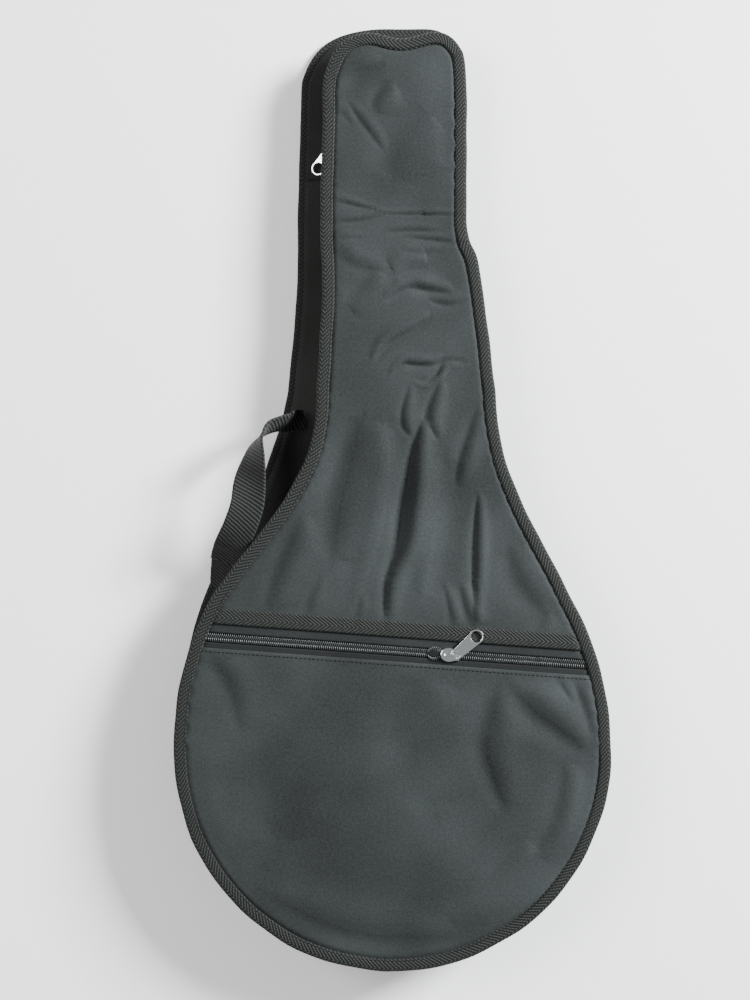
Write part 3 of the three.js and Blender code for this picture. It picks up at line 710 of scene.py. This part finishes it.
def front_panel_plan():
    """Plan grid of the upper front: between the strip above the pocket zip and the head."""
    line, left_i, right_i, ring = zip_line(STRIP_FROM + STRIP_W - 1.2, count=130)
    first, last = TOP_SPAN
    right = np.concatenate([line[-1:], ring[right_i + 1:first + 1]])
    left = np.concatenate([line[:1], ring[last:left_i + 1][::-1]])
    return coons(line, ring[first:last + 1][::-1], left, right, 130, 300)


def pocket_plan(columns, rows):
    """Plan grid of the lower front: between the pocket zip and the bottom of the round body."""
    line, left_i, right_i, ring = zip_line(-COIL_REACH - TAPE_BELOW - GAP, count=columns)
    first, last = BOTTOM_SPAN
    left = np.concatenate([ring[first:left_i:-1], line[:1]])
    right = np.concatenate([ring[last:], ring[:right_i + 1], line[-1:]])
    return coons(ring[first:last + 1], line, left, right, columns, rows)


def back_plan():
    """Plan grid of the back, from the bottom of the round body to the head."""
    ring = BACK - BACK_OUT * 5.0
    right = np.concatenate([ring[BOTTOM_SPAN[1]:], ring[:TOP_SPAN[0] + 1]])
    left = ring[TOP_SPAN[1]:BOTTOM_SPAN[0] + 1][::-1]
    bottom, top = ring[BOTTOM_SPAN[0]:BOTTOM_SPAN[1] + 1], ring[TOP_SPAN[0]:TOP_SPAN[1] + 1][::-1]
    return coons(bottom, top, left, right, 110, 300)


def band_surface(low, high, rows, columns, offset):
    """A straight band across the front between two offsets from the pocket zip."""
    a = zip_line(low, count=columns)[0]
    b = zip_line(high, count=columns)[0]
    t = np.linspace(0, 1, rows)[:, None, None]
    return front_surface(a[None] * (1 - t) + b[None] * t, offset)


def tape_section(width, thickness, around=22):
    """Section of a folded tape: a flattened oval, flatter on its faces than an ellipse, as distances
    in from the outline and up from its middle."""
    turn = np.arange(around) * 2 * math.pi / around
    c, s = np.cos(turn), np.sin(turn)
    across = width / 2 * (1 - np.sign(c) * np.abs(c) ** 0.75)
    up = thickness / 2 * np.sign(s) * np.abs(s) ** 0.6
    return across, up


def binding_object(name, points, out, height, wobble):
    """A folded tape carried round an outline: the flattened oval at each station, on the height
    given there, with slow small waves where the cloth pulls it."""
    across, up = tape_section(BINDING_W, BINDING_T)
    station = lengths(np.concatenate([points, points[:1]]))
    turn = 2 * math.pi * station[:-1] / station[-1]
    wave_in = wobble * (0.5 * np.sin(17 * turn) + 0.35 * np.sin(29 * turn + 1.3)
                        + 0.3 * np.sin(47 * turn))
    flat = points[:, None, :] - out[:, None, :] * (across[None, :, None] + wave_in[:, None, None] + 0.25)
    rings = lifted(flat, height(flat[..., 0], flat[..., 1]) + up[None, :])
    around = np.concatenate([np.abs(across), across[:1]])
    return hoop_object(name, rings, station, around, finish("binding"))


def front_binding_height(x, y):
    """Height of the middle of the front binding, which follows the cloth's folds a little."""
    return front_height(y) - 1.25 + lie(x, y) * 0.22


def back_binding_height(x, y):
    """Height of the middle of the back binding, which lies flat on the floor."""
    return np.full(x.shape, 2.05)


def seam_line(points, out, height, rise):
    """The line of stitching near a binding's inner edge, closed on itself."""
    plan = points - out * BINDING_SEAM
    plan = np.concatenate([plan, plan[:1]])
    return lifted(plan, height(plan[:, 0], plan[:, 1]) + rise)


def wall_lines():
    """Foot, fold and head of the wall at every station: out at the back binding, in at the fold, and
    out again under the front binding."""
    i = np.arange(COUNT)
    left = smooth(i, TOP_LEFT - FINE, LEFT_NECK) - smooth(i, BODY_START - 4 * FINE, BODY_START + 5 * FINE)
    fold_inset = FOLD_INSET + (FOLD_INSET_LEFT - FOLD_INSET) * left
    foot = BACK - BACK_OUT * WALL_INSET
    fold = FRONT - FRONT_OUT * fold_inset[:, None]
    head = FRONT - FRONT_OUT * WALL_INSET
    return (lifted(foot, np.full(COUNT, BINDING_T + GAP)),
            lifted(fold, FOLD_HEIGHT * front_height(fold[:, 1])),
            lifted(head, front_height(head[:, 1]) - BINDING_T - GAP))


FOOT, FOLD, HEAD = wall_lines()


def leg_frame(stations):
    """For the wall's lower leg at some stations: its fold, unit direction out, up and length."""
    out = FOOT[stations] - FOLD[stations]
    length = np.linalg.norm(out, axis=1)
    out = out / length[:, None]
    x, y, z = out.T
    return FOLD[stations], out, unit(np.stack([-x * z, -y * z, x ** 2 + y ** 2], axis=1)), length


NEAR_COIL = GAP + TAPE_W + 1.2
MID_ZIP = NEAR_COIL + COIL_REACH
FAR_TAPE = MID_ZIP + COIL_REACH + GAP + TAPE_W


def lower_sheet(name, stations, near, far, rise, thickness, material, slack=0.0):
    """A strip of the wall's lower leg between two distances from its fold, bellied by slack."""
    fold, out, up, length = leg_frame(stations)
    columns = 3 if far is not None else 9
    t = np.linspace(0, 1, columns)[None, :]
    end = (length if far is None else np.full(len(stations), far))[:, None]
    d = near + (end - near) * t
    along = lengths(fold)
    ripple = 0.6 * np.sin(along / 19)[:, None] + 0.7 * np.sin(along / 7.3 + 1)[:, None]
    belly = slack * np.sin(math.pi * t) * ripple
    left = np.where(fold[:, 0] < 0, np.exp(-((fold[:, 1] - CROSS_SEAM_Y) / 1.6) ** 2), 0)
    belly = belly - 0.9 * left[:, None]
    p = fold[:, None] + out[:, None] * d[..., None] + up[:, None] * (rise + thickness + belly)[..., None]
    u = np.broadcast_to(along[:, None], d.shape)
    return sheet_object(name, p, u, d, thickness, finish(material))


def upper_sheet(name, stations, material, slack):
    """The wall's upper leg, from the fold out to the front binding, hollowed inwards a little and
    rippled along its length."""
    t = np.linspace(0, 1, 11)[None, :, None]
    low = FOLD[stations] + np.array([0, 0, 2.1])
    high = HEAD[stations] + np.array([0, 0, 1.2])
    along = lengths(low)
    inward = np.concatenate([-FRONT_OUT[stations], np.zeros((len(stations), 1))], axis=1)
    ripple = slack * (0.5 + 0.5 * np.sin(along / 9) * np.sin(along / 31 + 2))
    hollow = np.sin(math.pi * t) * ripple[:, None, None]
    p = low[:, None] * (1 - t) + high[:, None] * t + inward[:, None] * hollow
    width = np.linalg.norm(high - low, axis=1)
    u = np.broadcast_to(along[:, None], p.shape[:2])
    return sheet_object(name, p, u, t[..., 0] * width[:, None], 1.0, finish(material))


LID_RUN = np.concatenate([np.arange(TOP_LEFT, -1, -1), np.arange(COUNT - 1, ZIP_END - 1, -1)])
START_RUN = np.arange(ZIP_START, TOP_LEFT, -1)
BASE_RUN = np.concatenate([START_RUN, LID_RUN])
HINGE_RUN = np.arange(ZIP_START, ZIP_END + 1)
SIDE_RUN = np.arange(TOP_LEFT, ZIP_END + 1)


def coil_teeth(name, line, out, up, side):
    """One row of a coil zip: turns of filament as small bars across the zip, leaning with the coil,
    spaced evenly along the line and reaching from just past the middle to the row's edge."""
    d = lengths(line)
    where = (np.arange(int(d[-1] / TOOTH_PITCH)) + (0.25 if side > 0 else 0.75)) * TOOTH_PITCH
    o = unit(at_lengths(np.broadcast_to(out, line.shape), d, where))
    w = unit(at_lengths(np.broadcast_to(up, line.shape), d, where))
    along = np.cross(o, w)
    lean = 0.3 * side
    bar = o * math.cos(lean) + along * math.sin(lean)
    middle = at_lengths(line, d, where) + o * side * 1.5 + w * 1.25
    return capsules(name, middle, bar, np.cross(w, bar), w, (2.1, 0.5, 1.2), finish("nylon"))


def stitches(name, line, up, pitch, body):
    """A row of lockstitches along a line: short thread bars, a pitch apart, pulled into the cloth."""
    d = lengths(line)
    where = np.arange(pitch / 2, d[-1], pitch)
    at = at_lengths(line, d, where)
    lift = unit(at_lengths(np.broadcast_to(up, line.shape), d, where))
    along = unit(at_lengths(line, d, where + 0.5) - at)
    across = unit(np.cross(lift, along))
    piece = capsules(name, at + lift * 0.25, along, across, np.cross(along, across),
                     (pitch * 0.36, 0.42, 0.3), finish("thread"))
    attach(piece, body)


def stand_in(piece, body, node):
    """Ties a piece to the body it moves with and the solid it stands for."""
    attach(piece, body)
    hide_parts(node)


def plan_sheet(name, surface, thickness, material):
    """A closed sheet whose weave runs square to the bag."""
    return sheet_object(name, surface, surface[..., 0], surface[..., 1], thickness, finish(material))


# ---- settings

def srgb(name, description, default):
    """A colour property that holds sRGB values."""
    return FloatVectorProperty(name=name, description=description + ", in sRGB", default=default,
                               subtype="COLOR_GAMMA", size=3, min=0, max=1)


class BagColours(bpy.types.PropertyGroup):
    """Colours of the cloth, the tape and the floor"""
    cloth_dark: srgb("Cloth shade", "Darkest yarn of the cloth", (0.035, 0.042, 0.043))
    cloth_light: srgb("Cloth light", "Lightest yarn of the cloth", (0.224, 0.242, 0.243))
    tape_dark: srgb("Tape shade", "Ground of the tape and webbing", (0.01, 0.012, 0.011))
    tape_light: srgb("Tape light", "Ribs of the tape and webbing", (0.168, 0.188, 0.174))
    floor: srgb("Floor", "Colour of the board under the bag", (0.96, 0.96, 0.96))


class BagSizes(bpy.types.PropertyGroup):
    """Thickness, stitches and the camera's height"""
    cloth_t: FloatProperty(name="Cloth thickness", description="Thickness of the coated cloth",
                           default=1.0, min=0.3, max=3)
    stitch: FloatProperty(name="Stitch length", description="Distance between stitches, in millimetres",
                          default=3.2, min=1.5, max=6)
    camera_height: FloatProperty(name="Camera height", description="Height of the camera above the floor",
                                 default=1.4, min=0.5, max=5, unit="LENGTH")


# ---- one operator for each piece

class BAG_OT_stage(bpy.types.Operator):
    """Make the floor, the lights and the camera"""
    bl_idname = "bag.stage"
    bl_label = "Stage"

    def execute(self, context):
        height = context.scene.bag_sizes.camera_height
        camera = bpy.data.objects.new("Camera", bpy.data.cameras.new("Camera"))
        camera.data.lens = SENSOR * (height - LEVEL_IN_VIEW) / LENGTH_IN_VIEW
        camera.location = (-0.013, SHIFT_Y * MM, height)
        context.scene.collection.objects.link(camera)
        context.scene.camera = camera
        mesh = bpy.data.meshes.new("Floor")
        mesh.from_pydata([(-4, -4, 0), (4, -4, 0), (4, 4, 0), (-4, 4, 0)], [], [(0, 1, 2, 3)])
        mesh.materials.append(finish("floor"))
        floor = bpy.data.objects.new("Floor", mesh)
        context.scene.collection.objects.link(floor)
        lamps = [
            ("Window", (2.15, 1.15, 1.3), 0.8, 400, (0.96, 0.98, 1.0)),
            ("Fill", (-1.9, 0.6, 2.0), 1.6, 75, (1.0, 0.98, 0.96)),
        ]
        for name, place, size, power, colour in lamps:
            light = bpy.data.lights.new(name, "AREA")
            light.size = size
            light.energy = power
            light.color = colour
            lamp = bpy.data.objects.new(name, light)
            lamp.location = place
            toward = -np.array(place) / np.linalg.norm(place)
            lamp.rotation_euler = (math.acos(-toward[2]), 0, math.atan2(toward[1], toward[0]) - math.pi / 2)
            context.scene.collection.objects.link(lamp)
        world = bpy.data.worlds.new("Soft room")
        world.use_nodes = True
        background = world.node_tree.nodes["Background"]
        background.inputs["Color"].default_value = (0.97, 0.98, 1.0, 1)
        background.inputs["Strength"].default_value = 0.44
        context.scene.world = world
        return {"FINISHED"}


class BAG_OT_front(bpy.types.Operator):
    """Make the front panel, the pocket and the strips between them"""
    bl_idname = "bag.front"
    bl_label = "Front and Pocket"

    def execute(self, context):
        thick = context.scene.bag_sizes.cloth_t
        panel = plan_sheet("front_cloth", front_surface(front_panel_plan()), thick, "cloth")
        stand_in(panel, "lid", "front_panel")
        pocket = plan_sheet("pocket_cloth", front_surface(pocket_plan(170, 130), 0.5), thick, "cloth")
        stand_in(pocket, "lid", "pocket_panel")
        low, high = -COIL_REACH - 0.4, COIL_REACH + GAP
        surface = band_surface(high, high + FACING_W + 1.5, 7, 120, -0.5)
        facing = plan_sheet("pocket_facing_cloth", surface, 0.8, "facing")
        stand_in(facing, "lid", "pocket_zip_facing")
        surface = band_surface(low - TAPE_BELOW - 1.0, low, 6, 120, -0.6)
        tape = plan_sheet("pocket_zip_tape_cloth", surface, 0.7, "zip_tape")
        stand_in(tape, "lid", "pocket_zip_tape")
        surface = band_surface(high + FACING_W, high + FACING_W + STRIP_W, 10, 240, 0.15)
        v = np.broadcast_to(np.linspace(0, STRIP_W, 10)[:, None], surface.shape[:2])
        strip = sheet_object("pocket_strip_tape", surface, surface[..., 0], v, 1.3, finish("strip"))
        stand_in(strip, "lid", "pocket_top_strip")
        self.backing(thick)
        return {"FINISHED"}

    def backing(self, thick):
        """The pocket's inner layer, drawn in evenly and hung a finger's thickness below the front."""
        plan = pocket_plan(90, 70)
        centre = np.array([0.0, BODY_Y + 10])
        plan = centre + (plan - centre) * 0.93
        x, y = plan[..., 0], plan[..., 1]
        z = front_height(y) - BACKING_DROP + 0.5 * lie(x, y)
        piece = plan_sheet("pocket_backing_cloth", lifted(plan, z), thick, "lining")
        stand_in(piece, "lid", "pocket_backing")


class BAG_OT_bindings(bpy.types.Operator):
    """Make the two folded bindings and their stitches"""
    bl_idname = "bag.bindings"
    bl_label = "Bindings"

    def execute(self, context):
        pitch = context.scene.bag_sizes.stitch
        front = binding_object("front_binding_tape", FRONT, FRONT_OUT, front_binding_height, 0.5)
        stand_in(front, "lid", "front_binding")
        back = binding_object("back_binding_tape", BACK, BACK_OUT, back_binding_height, 0.3)
        stand_in(back, "base", "back_binding")
        up = np.array([0.0, 0.0, 1.0])
        seam = seam_line(FRONT, FRONT_OUT, front_binding_height, 1.45)
        stitches("front_binding_stitches", seam, up, pitch, "lid")
        seam = seam_line(BACK, BACK_OUT, back_binding_height, 1.55)
        stitches("back_binding_stitches", seam, up, pitch, "base")
        return {"FINISHED"}


class BAG_OT_pocket_zip(bpy.types.Operator):
    """Make the pocket zip's coil, its stitching and finish its slider and pull"""
    bl_idname = "bag.pocket_zip"
    bl_label = "Pocket Zip"

    def execute(self, context):
        pitch = context.scene.bag_sizes.stitch
        plan = zip_line(0, inset=7.5, count=60)[0]
        line = front_surface(plan, -COIL_DEPTH)
        along = unit(line[-1] - line[0])
        up = np.array([0, HEIGHT_SLOPE, 1.0]) / math.hypot(HEIGHT_SLOPE, 1)
        out = np.cross(up, along)
        for name, side in (("upper", 1), ("lower", -1)):
            piece = coil_teeth(f"pocket_coil_{name}_teeth", line, out, up, side)
            stand_in(piece, "lid", f"pocket_zip_coil_{name}")
        for name, offset, lift in (("strip_top", STRIP_FROM + STRIP_W - 1.1, 0.5),
                                   ("strip_low", STRIP_FROM + 1.2, 0.5),
                                   ("pocket_edge", -COIL_REACH - TAPE_BELOW - 3.0, 1.3)):
            row = front_surface(zip_line(offset, inset=9.0, count=200)[0], lift)
            stitches(f"stitches_{name}", row, up, pitch, "lid")
        self.mouth(up, out)
        for node in ("pocket_slider", "pocket_pull", "main_slider", "main_pull"):
            for material_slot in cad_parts[node].material_slots:
                material_slot.material = finish("metal")
        return {"FINISHED"}

    def mouth(self, up, out):
        """The short gap behind the slider, where the two rows part: a thin lens of dark sheet laid over the
        coil as painted shade for the gap, its half width a sine of the distance along it, and the turns of
        each row bowed round it."""
        t = np.linspace(0, 1, 25)
        x = SLIDER_X - SLIDER_HALF_L - MOUTH_L * (1 - t)
        part = 2.3 * np.sin(math.pi * t ** 0.8)
        line = front_surface(np.stack([x, ZIP_Y + ZIP_SLOPE * x], axis=1), -COIL_DEPTH)
        across = np.linspace(-1, 1, 7)[:, None] * np.maximum(part, 0.05)[None]
        lens = line[None] + across[..., None] * out + up * 2.62
        v = np.broadcast_to(across, lens.shape[:2])
        u = np.broadcast_to(x, v.shape)
        # Painted shade: a dark thread-coloured sheet laid on top of the coil, where the parted rows leave a
        # shadowed gap.
        painted_shade_lens = sheet_object("pocket_zip_mouth", lens, u, v, 0.2, finish("thread"))
        rows = [coil_teeth(f"pocket_zip_mouth_{name}", line + out * (side * part)[:, None] + up * 0.55,
                           out, up, side)
                for name, side in (("upper", 1), ("lower", -1))]
        for piece in (painted_shade_lens, *rows):
            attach(piece, "pocket_slider")


class BAG_OT_walls(bpy.types.Operator):
    """Make the side walls and the main zip in them"""
    bl_idname = "bag.walls"
    bl_label = "Walls and Main Zip"

    def execute(self, context):
        thick = context.scene.bag_sizes.cloth_t
        front_wall = upper_sheet("front_wall_cloth", LID_RUN, "wall", 2.5)
        back_wall = lower_sheet("back_wall_cloth", BASE_RUN, FAR_TAPE - 1, None, 0.3, thick, "wall")
        side_lower = lower_sheet("side_wall_lower_cloth", HINGE_RUN, 0.0, None, 0.3, thick, "wall", 0.9)
        stand_in(front_wall, "lid", "front_gusset")
        stand_in(back_wall, "base", "back_gusset")
        stand_in(side_lower, "base", "side_gusset_lower")
        near, far = (GAP, NEAR_COIL + 0.4), (MID_ZIP + COIL_REACH - 0.4, FAR_TAPE)
        rows = (("front", LID_RUN, -1, near, "lid"), ("start", START_RUN, -1, near, "base"),
                ("back", BASE_RUN, 1, far, "base"))
        for name, stations, _, edges, body in rows:
            tape = lower_sheet(f"main_tape_{name}_cloth", stations, *edges, 0.1, 0.8, "zip_tape")
            stand_in(tape, body, f"main_zip_tape_{name}")
        side = upper_sheet("side_wall_upper_cloth", SIDE_RUN, "wall", 2.5)
        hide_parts("side_gusset_upper")
        tilt = np.array([0, 0.5 * HEIGHT_SLOPE, 1.0])
        tilt /= np.linalg.norm(tilt)
        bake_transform(side)
        for name, stations, side_of_zip, _, body in rows:
            fold, out, up, _ = leg_frame(stations)
            line = fold + out * MID_ZIP + up * 0.2
            piece = coil_teeth(f"main_coil_{name}_teeth", line, out, up, side_of_zip)
            stand_in(piece, body, f"main_zip_coil_{name}")
        return {"FINISHED"}


class BAG_OT_back(bpy.types.Operator):
    """Make the back panel"""
    bl_idname = "bag.back"
    bl_label = "Back"

    def execute(self, context):
        plan = back_plan()
        x, y = plan[..., 0], plan[..., 1]
        z = 2.6 + 0.35 * np.clip(lie(-x, y), -1.5, 3)
        panel = plan_sheet("back_cloth", lifted(plan, z), 1.2, "cloth")
        stand_in(panel, "base", "back_panel")
        return {"FINISHED"}


class BAG_OT_handle(bpy.types.Operator):
    """Make the webbing handle and its sewn ends"""
    bl_idname = "bag.handle"
    bl_label = "Handle"

    def execute(self, context):
        loop = [
            ((-125, -47, 21.5), (0.9, -0.42, 0.1)),
            ((-123, -40, 27), (0.93, -0.37, 0.1)),
            ((-120, -33, 34), (0.95, -0.3, 0)),
            ((-113.5, -20, 40), (1, -0.12, 0)),
            ((-108, -4, 42), (1, 0, 0)),
            ((-106, 12, 41), (0.97, 0.05, 0.25)),
            ((-103.5, 28, 38), (0.75, 0.12, 0.65)),
            ((-101, 42, 34), (0.45, 0.3, 0.85)),
            ((-95, 52, 30), (0.2, 0.35, 0.9)),
            ((-87, 56, 26), (0.1, 0.35, 0.92)),
            ((-79.5, 58, 22), (0.12, 0.4, 0.9)),
        ]
        lower = [
            ((-130.5, -68, 8.5), (0.86, -0.5, 0.3)),
            ((-128, -58, 13.5), (0.88, -0.46, 0.25)),
            ((-124.6, -47.2, 20.6), (0.9, -0.42, 0.1)),
        ]
        upper = [
            ((-79.2, 58, 21.6), (0.12, 0.4, 0.9)),
            ((-73, 60, 16.5), (0.2, 0.8, 0.5)),
            ((-66, 61.5, 14.5), (0.2, 0.97, 0.1)),
        ]
        for node, stations, body, width in (("handle", loop, "handle", (25.0, 25.0)),
                                            ("handle_end_lower", lower, "base", (17.0, 24.8)),
                                            ("handle_end_upper", upper, "base", (24.8, 13.0))):
            stand_in(self.strap(f"{node}_webbing", stations, width), body, node)
        return {"FINISHED"}

    def strap(self, name, stations, width):
        """A strip of webbing: its middle follows a smooth curve through the stations, its width
        turns with theirs and runs evenly from the first figure given to the last, and it is cupped
        a little across."""
        centre = bend([p for p, _ in stations], 60, ends=True)
        across = bend([w for _, w in stations], 60, ends=True)
        along = unit(np.gradient(centre, axis=0))
        across = unit(across - along * np.sum(across * along, axis=1, keepdims=True))
        t = np.linspace(-1, 1, 17)
        cup = 0.5 * (1 - t ** 2)
        thick = np.cross(along, across)
        reach = np.linspace(width[0], width[1], len(centre))[:, None] / 2 * t[None]
        p = centre[:, None] + across[:, None] * reach[..., None] + thick[:, None] * cup[None, :, None]
        u = np.broadcast_to(lengths(centre)[:, None], p.shape[:2])
        v = reach + width[0] / 2
        return sheet_object(name, p, u, v, 1.6, finish("webbing"))


class BAG_PT_panel(bpy.types.Panel):
    """The settings, and a button for each operator"""
    bl_label = "Carrying Bag"
    bl_idname = "BAG_PT_panel"
    bl_space_type = "VIEW_3D"
    bl_region_type = "UI"
    bl_category = "Carrying Bag"

    def draw(self, context):
        layout = self.layout
        for group in (context.scene.bag_colours, context.scene.bag_sizes):
            for key in group.__annotations__:
                layout.prop(group, key)
        for operator in OPERATORS:
            layout.operator(operator.bl_idname)


OPERATORS = (BAG_OT_stage, BAG_OT_front, BAG_OT_bindings, BAG_OT_pocket_zip, BAG_OT_walls, BAG_OT_back,
             BAG_OT_handle)
CLASSES = (BagColours, BagSizes, *OPERATORS, BAG_PT_panel)


def register():
    """Makes the classes and their settings known to Blender."""
    for cls in CLASSES:
        bpy.utils.register_class(cls)
    bpy.types.Scene.bag_colours = PointerProperty(type=BagColours)
    bpy.types.Scene.bag_sizes = PointerProperty(type=BagSizes)


def unregister():
    """Takes the classes and their settings away again."""
    del bpy.types.Scene.bag_sizes
    del bpy.types.Scene.bag_colours
    for cls in reversed(CLASSES):
        bpy.utils.unregister_class(cls)


def main():
    """Builds every piece."""
    register()
    bpy.ops.bag.stage()
    bpy.ops.bag.front()
    bpy.ops.bag.bindings()
    bpy.ops.bag.pocket_zip()
    bpy.ops.bag.walls()
    bpy.ops.bag.back()
    bpy.ops.bag.handle()


if __name__ == "__main__":
    main()
